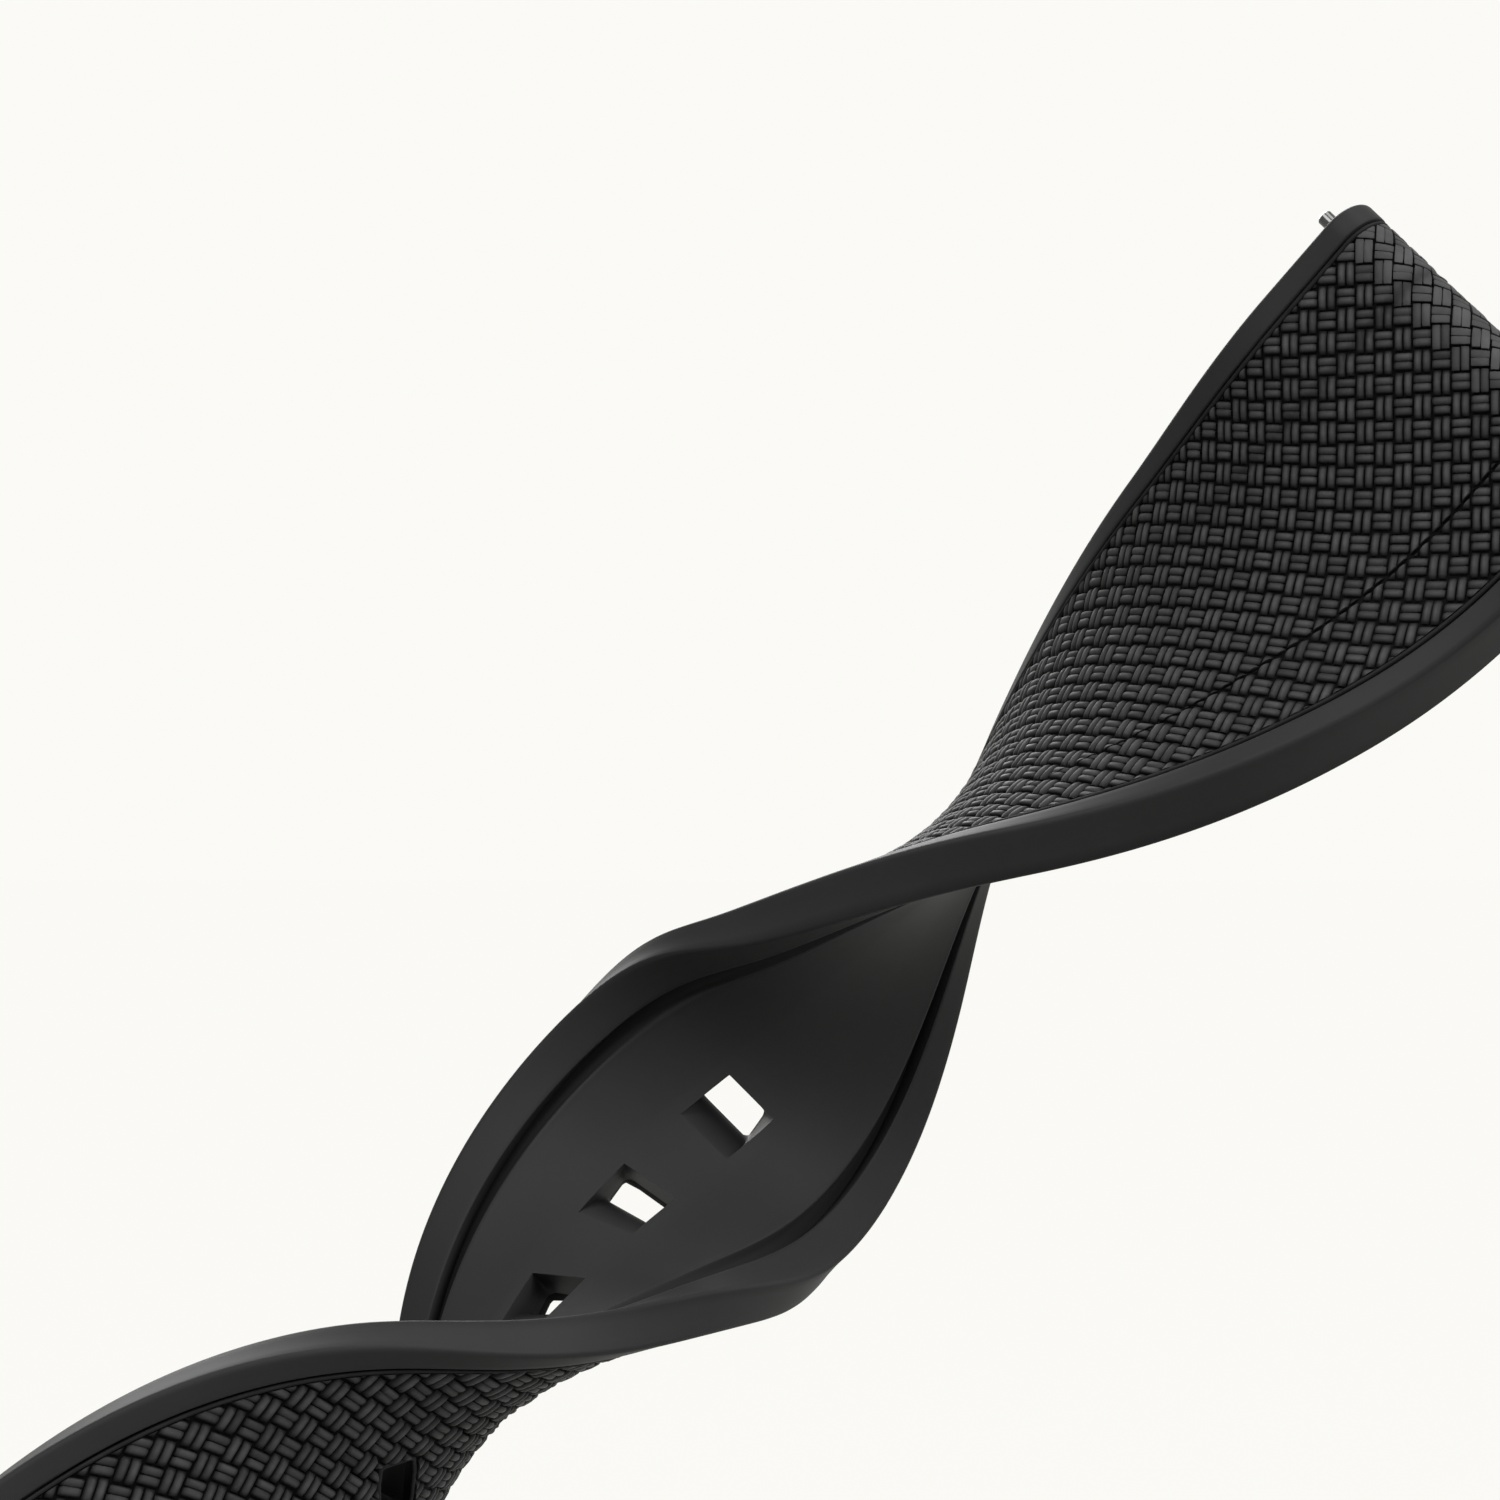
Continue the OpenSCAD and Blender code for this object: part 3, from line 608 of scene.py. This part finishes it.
def build_ground():
    """The panel under the strands: a sheet with a thin raised rim, cut through by the slots."""
    s, blocks = stations(block_n=9, run_n=90, cell_n=13, gap_n=4, round_n=14)
    s_all = np.concatenate([np.full(len(TURNS), BAR_S), s])
    roll = np.concatenate([TURNS * NOSE_TURN, np.zeros(len(s))])[:, None]
    w, m = panel_half_w(s_all), inner_narrow(s_all)
    inner = [-STRIP, -STRIP / 2, 0, STRIP / 2, STRIP]
    rim = [(inset, GROUND - height) for inset, height in RIM]
    u = np.stack([-(w - d) * m for d, _ in rim] + [x * m for x in inner] + [(w - d) * m for d, _ in rim[::-1]], 1)
    deep = np.array([z for _, z in rim] + [GROUND] * len(inner) + [z for _, z in rim[::-1]])[None, :]
    # painted shade over the ground, with the rim's top left light
    crest = (deep < GROUND - 0.1).astype(float)
    base = half_t(s_all)[:, None]
    mesh = Mesh()
    top = mesh.points(s_all[:, None], u, base - PANEL_DROP - deep, roll, crest)
    under = mesh.points(s_all[:, None], u, base - RECESS_D + BOND, roll)
    j0, j1 = len(rim), len(rim) + len(inner) - 1
    mesh.sheets(top, under, blocks, j0, j1)
    for j in (0, u.shape[1] - 1):
        mesh.grid(np.stack([top[:, j], under[:, j]], 1))
    for (i0, i1), h in zip(blocks, HOLES):
        front, ab = rim_of(top, i0, i1, j0, j1)
        back, _ = rim_of(under, i0, i1, j0, j1)
        rings = [front]
        for grow, height in SLOT_RIM:
            x, y = rect_ring(slot_mid(h), SLOT_L / 2 + grow, MOUTH_W / 2 - SLOT_INSET + grow, ab, LEDGE_ROUND + grow)
            # painted shade round a slot, with the top of its lip left light
            rings.append(mesh.points(x, y, half_t(x) - PANEL_DROP - GROUND + height, crest=float(height > 0.05)))
        rings += [mesh.points(x, y, half_t(x) - RECESS_D + BOND), back]
        mesh.grid(np.stack(rings, 0), closed=True)
    return mesh


def block_axes():
    """The straight block's directions as arrays: along, across, front."""
    return [d[0] for d in directions(np.array([0.0]))]


def cutter(name, verts, faces):
    mesh = bpy.data.meshes.new(name)
    mesh.from_pydata([tuple(v) for v in verts], [], faces)
    return linked(name, mesh)


def bore_cutter(n=64):
    """A round bar of n sides along the bore."""
    along, across, front = block_axes()
    verts = []
    for end in (-BORE_REACH, BORE_REACH):
        for k in range(n):
            a = 2 * math.pi * k / n
            verts.append((across * end + along * BORE_R * math.cos(a) + front * BORE_R * math.sin(a)) * MM)
    faces = [tuple(range(n))[::-1], tuple(range(n, 2 * n))]
    faces += [(k, (k + 1) % n, n + (k + 1) % n, n + k) for k in range(n)]
    return cutter("bore_cutter", verts, faces)


def notch_cutter():
    """The room for the knob under the nose, open towards the nose and downwards, with its inner edges rounded."""
    along, across, front = block_axes()
    reach = (-NOTCH_REACH, KNOB_ROOM), (NOTCH_LOW, NOTCH_HIGH), (-NOTCH_REACH, -NOTCH_UNDER)
    corner = [(x, y, z) for x in reach[0] for y in reach[1] for z in reach[2]]
    faces = [(0, 1, 3, 2), (4, 6, 7, 5), (0, 4, 5, 1), (2, 3, 7, 6), (0, 2, 6, 4), (1, 5, 7, 3)]
    bm = bmesh.new()
    vs = [bm.verts.new(c) for c in corner]
    for f in faces:
        bm.faces.new([vs[i] for i in f])
    bmesh.ops.recalc_face_normals(bm, faces=bm.faces)
    edges = [e for e in bm.edges if all(v.co.x > 0 for v in e.verts) or all(v.co.z > -1 for v in e.verts)]
    bmesh.ops.bevel(bm, geom=edges, offset=NOTCH_ROUND, segments=5, affect="EDGES", profile=0.5)
    pts = [(along * v.co.x + across * v.co.y + front * v.co.z) * MM for v in bm.verts]
    bm.verts.index_update()
    out = [tuple(v.index for v in f.verts) for f in bm.faces]
    bm.free()
    return cutter("notch_cutter", pts, out)


def subtract(ob, tools, sharp):
    """Cuts the tools out of the object for good, and removes them."""
    for tool in tools:
        mod = ob.modifiers.new("cut", "BOOLEAN")
        mod.operation, mod.solver, mod.object = "DIFFERENCE", "EXACT", tool
    dg = bpy.context.evaluated_depsgraph_get()
    mesh = bpy.data.meshes.new_from_object(ob.evaluated_get(dg), preserve_all_data_layers=True, depsgraph=dg)
    ob.modifiers.clear()
    old = ob.data
    ob.data = mesh
    bpy.data.meshes.remove(old)
    mesh.name = ob.name
    for tool in tools:
        tool_mesh = tool.data
        bpy.data.objects.remove(tool)
        bpy.data.meshes.remove(tool_mesh)
    for p in mesh.polygons:
        p.use_smooth = True
    mesh.set_sharp_from_angle(angle=math.radians(sharp))


# ---------------------------------------------------------------- materials
def material(name, base, roughness, **sockets):
    """A new material with a plain colour and roughness to start from. Returns it with its tree and shader."""
    mat = bpy.data.materials.new(name)
    mat.use_nodes = True
    tree = mat.node_tree
    shader = tree.nodes["Principled BSDF"]
    shader.inputs["Base Color"].default_value = (*base, 1)
    shader.inputs["Roughness"].default_value = roughness
    for key, value in sockets.items():
        shader.inputs[key.replace("_", " ")].default_value = value
    return mat, tree, shader


def noise(tree, scale, detail):
    coord = tree.nodes.new("ShaderNodeTexCoord")
    tex = tree.nodes.new("ShaderNodeTexNoise")
    tex.inputs["Scale"].default_value = scale
    tex.inputs["Detail"].default_value = detail
    tree.links.new(coord.outputs["Object"], tex.inputs["Vector"])
    return tex.outputs["Fac"]


def grey(value, warmth=1.0):
    return (value, value, value * warmth)


def ramp(tree, value, stops):
    node = tree.nodes.new("ShaderNodeValToRGB")
    el = node.color_ramp.elements
    while len(el) < len(stops):
        el.new(0.5)
    for e, (pos, col) in zip(el, stops):
        e.position, e.color = pos, (*col, 1)
    tree.links.new(value, node.inputs["Fac"])
    return node.outputs["Color"]


def remap(tree, value, low, high):
    node = tree.nodes.new("ShaderNodeMapRange")
    node.inputs["To Min"].default_value, node.inputs["To Max"].default_value = low, high
    tree.links.new(value, node.inputs["Value"])
    return node.outputs["Result"]


def multiply(tree, one, other):
    node = tree.nodes.new("ShaderNodeMix")
    node.data_type, node.blend_type = "RGBA", "MULTIPLY"
    node.inputs["Factor"].default_value = 1.0
    tree.links.new(one, node.inputs["A"])
    tree.links.new(other, node.inputs["B"])
    return node.outputs["Result"]


def stored_crest(tree):
    node = tree.nodes.new("ShaderNodeAttribute")
    node.attribute_name = "crest"
    return node.outputs["Fac"]


def bump(tree, shader, height, strength, distance):
    node = tree.nodes.new("ShaderNodeBump")
    node.inputs["Strength"].default_value, node.inputs["Distance"].default_value = strength, distance
    tree.links.new(height, node.inputs["Height"])
    tree.links.new(node.outputs["Normal"], shader.inputs["Normal"])


RUBBER_TONE, RUBBER_LOW, RUBBER_HIGH = (0.02, 0.02, 0.0202), (0.018, 0.018, 0.0183), (0.0225, 0.0225, 0.0228)
# the painted shade between the strands
GAP_TONE = grey(0.003)
HOLE_SHADE, PATCH_SHADE, END_PAINTED_SHADE, STEEL_SHADE = 0.35, 0.75, 0.12, 0.82  # what the dark places keep of a colour: painted shade in the holes and channels, random patches in the weave, painted shade at the plunger's end, and streaks in the steel
# colours by height, from painted shade in the gaps to a painted highlight on the strands' tops
STRAND_TOPS = [(0.0, 0.003), (0.5, 0.011), (0.8, 0.03), (1.0, 0.054)]
GROUND_TOPS = [(0.0, 0.0025), (1.0, 0.017)]
TIP_OUT, PAINTED_SHADE_L = 0.8, 0.5  # how far the plunger sticks out, and how much of it is darkened by painted shade (mm)


def rubber_material():
    """Dull rubber with a faint cloudy bloom, and painted shade in its channels and holes."""
    mat, tree, shader = material("moulded_rubber", RUBBER_TONE, 0.5, Specular_IOR_Level=0.05)
    cloud = noise(tree, 90, 4)
    grain = noise(tree, 9000, 2)
    bloom = ramp(tree, cloud, [(0.3, RUBBER_LOW), (0.7, RUBBER_HIGH)])
    # painted shade in the channels and holes, by the crest
    shade = ramp(tree, stored_crest(tree), [(0.0, grey(HOLE_SHADE)), (1.0, grey(1))])
    tree.links.new(multiply(tree, bloom, shade), shader.inputs["Base Color"])
    tree.links.new(remap(tree, cloud, 0.44, 0.58), shader.inputs["Roughness"])
    bump(tree, shader, grain, 0.12, 0.00002)
    return mat


def weave_material(name, tops, sheen):
    """Painted shade between the strands and a painted highlight towards their tops, by the crest that the mesh holds.
    """
    mat, tree, shader = material(name, GAP_TONE, 0.5, Specular_IOR_Level=sheen)
    cloud = noise(tree, 700, 3)
    fibre = noise(tree, 6000, 3)
    by_height = ramp(tree, stored_crest(tree), [(at, grey(tone, 1.01)) for at, tone in tops])
    patches = ramp(tree, cloud, [(0.35, grey(PATCH_SHADE)), (0.65, grey(1))])
    tree.links.new(multiply(tree, by_height, patches), shader.inputs["Base Color"])
    tree.links.new(remap(tree, fibre, 0.4, 0.6), shader.inputs["Roughness"])
    bump(tree, shader, fibre, 0.3, 0.00003)
    return mat


def shade_painted_end(tree, colour):
    """The colour, with painted shade towards the plunger's outer end."""
    coord = tree.nodes.new("ShaderNodeTexCoord")
    along_bar = tree.nodes.new("ShaderNodeVectorMath")
    along_bar.operation = "DOT_PRODUCT"
    along_bar.inputs[1].default_value = tuple(block_axes()[1] / MM)
    tree.links.new(coord.outputs["Object"], along_bar.inputs[0])
    place_mm = tree.nodes.new("ShaderNodeMapRange")
    place_mm.inputs["From Min"].default_value = -LUG_W / 2 - TIP_OUT
    place_mm.inputs["From Max"].default_value = -LUG_W / 2 - TIP_OUT + PAINTED_SHADE_L
    tree.links.new(along_bar.outputs["Value"], place_mm.inputs["Value"])
    shade = ramp(tree, place_mm.outputs["Result"], [(0.3, grey(END_PAINTED_SHADE)), (0.7, grey(1))])
    return multiply(tree, colour, shade)


def steel_material(name, base, low, high, scale, dark_end=False):
    """Steel between two roughnesses, with noise of the given scale, and with painted shade at its end where it is asked
    for.
    """
    mat, tree, shader = material(name, base, low, Metallic=1.0)
    streak = noise(tree, scale, 4)
    dim = tuple(c * STEEL_SHADE for c in base)
    colour = ramp(tree, streak, [(0.35, dim), (0.65, base)])
    tree.links.new(shade_painted_end(tree, colour) if dark_end else colour, shader.inputs["Base Color"])
    tree.links.new(remap(tree, streak, low, high), shader.inputs["Roughness"])
    bump(tree, shader, streak, 0.1, 0.00001)
    return mat


RUBBER = rubber_material()
STRANDS = weave_material("weave_strands", STRAND_TOPS, 0.06)
WEAVE_BASE = weave_material("weave_ground", GROUND_TOPS, 0.02)
METALS = {
    "bar_tube": steel_material("barrel_steel", (0.62, 0.62, 0.61), 0.24, 0.38, 2500),
    "fixed_tip": steel_material("tip_steel", (0.5, 0.5, 0.49), 0.16, 0.3, 4000),
    "release_knob": steel_material("knob_steel", (0.66, 0.66, 0.65), 0.2, 0.34, 3500),
    "bar_spring": steel_material("spring_steel", (0.5, 0.5, 0.5), 0.22, 0.36, 6000),
    # the plunger's outer end takes painted shade
    "sliding_tip": steel_material("plunger_steel", (0.62, 0.62, 0.61), 0.16, 0.3, 4000, dark_end=True),
}

# ---------------------------------------------------------------- pieces
BODY_SHARP, WEAVE_SHARP = 35, 60  # edges over these angles (degrees) stay sharp
body = new_object("strap_rubber", build_body(), RUBBER, BODY_SHARP)
subtract(body, [bore_cutter(), notch_cutter()], BODY_SHARP)
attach(body, "strap")
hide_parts("strap_body")

WEAVE = {"weave_strands": (build_strands, STRANDS), "weave_ground": (build_ground, WEAVE_BASE)}
for name, (build, finish) in WEAVE.items():
    piece = new_object(name, build(), finish, WEAVE_SHARP)
    if name == "weave_ground":
        subtract(piece, [notch_cutter()], WEAVE_SHARP)
    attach(piece, "strap")
    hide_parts("weave_panel")

for node, metal in METALS.items():
    for slot in bpy.data.objects[node].material_slots:
        slot.material = metal

# the coil takes the place of its solid
coil = linked("coil", bpy.data.objects["bar_spring"].data.copy())
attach(coil, "spring_bar")
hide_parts("bar_spring")
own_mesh(coil)


# ---------------------------------------------------------------- stage, light and camera
AIM, LAMP_SIZE = (-0.03, 0, -0.03), 0.4  # all the lamps point at the middle of the strap
LAMPS = {  # place in metres, and power in watts
    "key": ((-0.35, -0.42, 0.48), 3.7),
    "top": ((0.1, -0.1, 0.65), 2.5),
    "right": ((0.45, -0.45, 0.4), 6.0),
    "behind": ((-0.15, 0.5, 0.3), 2.5),
}
PAPER, FLOOR_TONE = (0.965, 0.956, 0.922), (0.5, 0.495, 0.48)
FLOOR_Z, FLOOR_HALF = -0.16, 6.0
FLOOR_SHOWN, FLOOR_GLOW = 0.97, 1.02  # the floor looks like the background, and keeps a little of its shadow
AMBIENT = 0.02
CAMERA_AT, CLIP = (-0.0374, -0.2998, -0.0197), (0.01, 20)
VIEW_HALF, SENSOR_W = 38.46 / 300, 36  # half of what the picture shows for a distance of 1, and the sensor in mm


def add_lamp(name, place_m, power):
    data = bpy.data.lights.new(name, "AREA")
    data.shape, data.size, data.energy = "DISK", LAMP_SIZE, power
    lamp = linked(name, data)
    lamp.location = place_m
    lamp.rotation_euler = (Vector(AIM) - Vector(place_m)).to_track_quat("-Z", "Y").to_euler()


def seen(tree, share=1.0):
    """share for the rays that see the background itself, in the picture, in gloss or through glass, and 0 for light."""
    path = tree.nodes.new("ShaderNodeLightPath")
    value = path.outputs["Is Camera Ray"]
    for other in ("Is Glossy Ray", "Is Transmission Ray"):
        node = tree.nodes.new("ShaderNodeMath")
        node.operation = "MAXIMUM"
        tree.links.new(value, node.inputs[0])
        tree.links.new(path.outputs[other], node.inputs[1])
        value = node.outputs["Value"]
    node = tree.nodes.new("ShaderNodeMath")
    node.operation = "MULTIPLY"
    node.inputs[1].default_value = share
    tree.links.new(value, node.inputs[0])
    return node.outputs["Value"]


def blend_shaders(tree, amount, plain, shown, out):
    """Puts the shown shader over the plain one, by the amount."""
    node = tree.nodes.new("ShaderNodeMixShader")
    tree.links.new(amount, node.inputs["Fac"])
    tree.links.new(plain, node.inputs[1])
    tree.links.new(shown, node.inputs[2])
    tree.links.new(node.outputs["Shader"], out)


def add_world():
    """A little even light, and white paper wherever the background itself is seen."""
    world = bpy.data.worlds.new("studio")
    bpy.context.scene.world = world
    world.use_nodes = True
    tree = world.node_tree
    lit = tree.nodes["Background"]
    lit.inputs["Color"].default_value = (1, 1, 1, 1)
    lit.inputs["Strength"].default_value = AMBIENT
    shown = tree.nodes.new("ShaderNodeBackground")
    shown.inputs["Color"].default_value = (*PAPER, 1)
    shown.inputs["Strength"].default_value = 1.0
    out = tree.nodes["World Output"].inputs["Surface"]
    blend_shaders(tree, seen(tree), lit.outputs["Background"], shown.outputs["Background"], out)


def add_floor():
    """Pale paper that meets the background without a line and keeps the shadow."""
    bm = bmesh.new()
    bmesh.ops.create_grid(bm, x_segments=8, y_segments=8, size=FLOOR_HALF)
    mesh = bpy.data.meshes.new("floor")
    bm.to_mesh(mesh)
    bm.free()
    floor = linked("floor", mesh)
    floor.location = (0, 0, FLOOR_Z)
    mat, tree, shader = material("floor_paper", FLOOR_TONE, 0.8)
    glow = tree.nodes.new("ShaderNodeEmission")
    glow.inputs["Color"].default_value = (*PAPER, 1)
    glow.inputs["Strength"].default_value = FLOOR_GLOW
    out = tree.nodes["Material Output"].inputs["Surface"]
    blend_shaders(tree, seen(tree, FLOOR_SHOWN), shader.outputs["BSDF"], glow.outputs["Emission"], out)
    mesh.materials.append(mat)


def add_camera():
    data = bpy.data.cameras.new("camera")
    data.sensor_width = SENSOR_W
    data.lens = SENSOR_W / 2 / VIEW_HALF
    data.clip_start, data.clip_end = CLIP
    camera = linked("camera", data)
    camera.location = CAMERA_AT
    camera.rotation_euler = (math.pi / 2, 0, 0)
    bpy.context.scene.camera = camera


bpy.context.scene.view_settings.view_transform = "Standard"
add_world()
add_floor()
for name, (place_m, power) in LAMPS.items():
    add_lamp(name, place_m, power)
add_camera()
